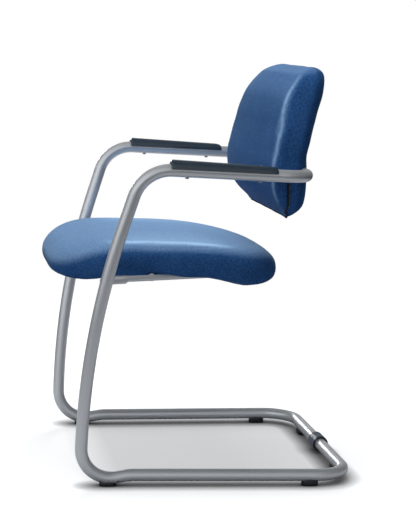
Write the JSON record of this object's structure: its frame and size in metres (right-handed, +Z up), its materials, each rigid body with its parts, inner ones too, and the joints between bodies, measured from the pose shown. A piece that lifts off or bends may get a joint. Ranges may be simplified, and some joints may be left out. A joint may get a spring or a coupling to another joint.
{
  "type": "sled base visitor chair",
  "caption": "Visitor chair on a sled base: one bent steel tube loop makes runners, legs, arms and back bar, with an upholstered seat and backrest.",
  "frame": {"origin": "on the floor, under the middle of the chair's bounding box", "axes": "+Z up, the sitter faces -Y, +X is the sitter's left"},
  "size_m": [0.6258, 0.6366, 0.848],
  "materials": {
    "frame_paint": "satin silver-grey powder coat",
    "zinc_steel": "zinc plated",
    "black_plastic": "moulded, fine grain",
    "slate_plastic": "moulded soft plastic, fine grain",
    "blue_fabric": "plain woven wool-like upholstery cloth",
    "navy_fabric": "woven tape",
    "foam": "open-cell foam",
    "plywood": "bent plywood, unfinished"
  },
  "bodies": {
    "root": {"frame_tube_left": "frame_paint", "frame_tube_right": "frame_paint", "floor_joint_sleeve": "zinc_steel", "floor_joint_collar": "black_plastic", "back_joint_sleeve": "zinc_steel", "front_glide_left": "black_plastic", "front_glide_right": "black_plastic", "rear_glide_left": "black_plastic", "rear_glide_right": "black_plastic", "bar_glide_left": "black_plastic", "bar_glide_right": "black_plastic", "arm_pad_left": "slate_plastic", "arm_pad_right": "slate_plastic", "arm_pad_screw_front_left": "zinc_steel", "arm_pad_screw_rear_left": "zinc_steel", "arm_pad_screw_front_right": "zinc_steel", "arm_pad_screw_rear_right": "zinc_steel", "seat_bracket_left": "frame_paint", "seat_bracket_right": "frame_paint", "seat_rail_left": "frame_paint", "seat_rail_right": "frame_paint", "seat_bar_front": "frame_paint", "seat_bar_rear": "frame_paint", "seat_tab_front_left": "frame_paint", "seat_tab_rear_left": "frame_paint", "seat_tab_front_right": "frame_paint", "seat_tab_rear_right": "frame_paint", "seat_screw_front_left": "zinc_steel", "seat_screw_rear_left": "zinc_steel", "seat_screw_front_right": "zinc_steel", "seat_screw_rear_right": "zinc_steel", "seat_tee_nut_front_left": "zinc_steel", "seat_tee_nut_rear_left": "zinc_steel", "seat_tee_nut_front_right": "zinc_steel", "seat_tee_nut_rear_right": "zinc_steel", "seat_bottom_shell": "black_plastic", "seat_pan": "plywood", "seat_foam": "foam", "seat_cover": "blue_fabric", "back_board": "plywood", "back_saddle_left": "black_plastic", "back_saddle_right": "black_plastic", "back_bolt_left": "zinc_steel", "back_bolt_right": "zinc_steel", "back_tee_nut_left": "zinc_steel", "back_tee_nut_right": "zinc_steel", "back_foam_front": "foam", "back_foam_rear": "foam", "back_cover": "blue_fabric", "back_cover_hem": "navy_fabric", "back_slit_lining_left": "black_plastic", "back_slit_lining_right": "black_plastic"}
  },
  "joints": []
}
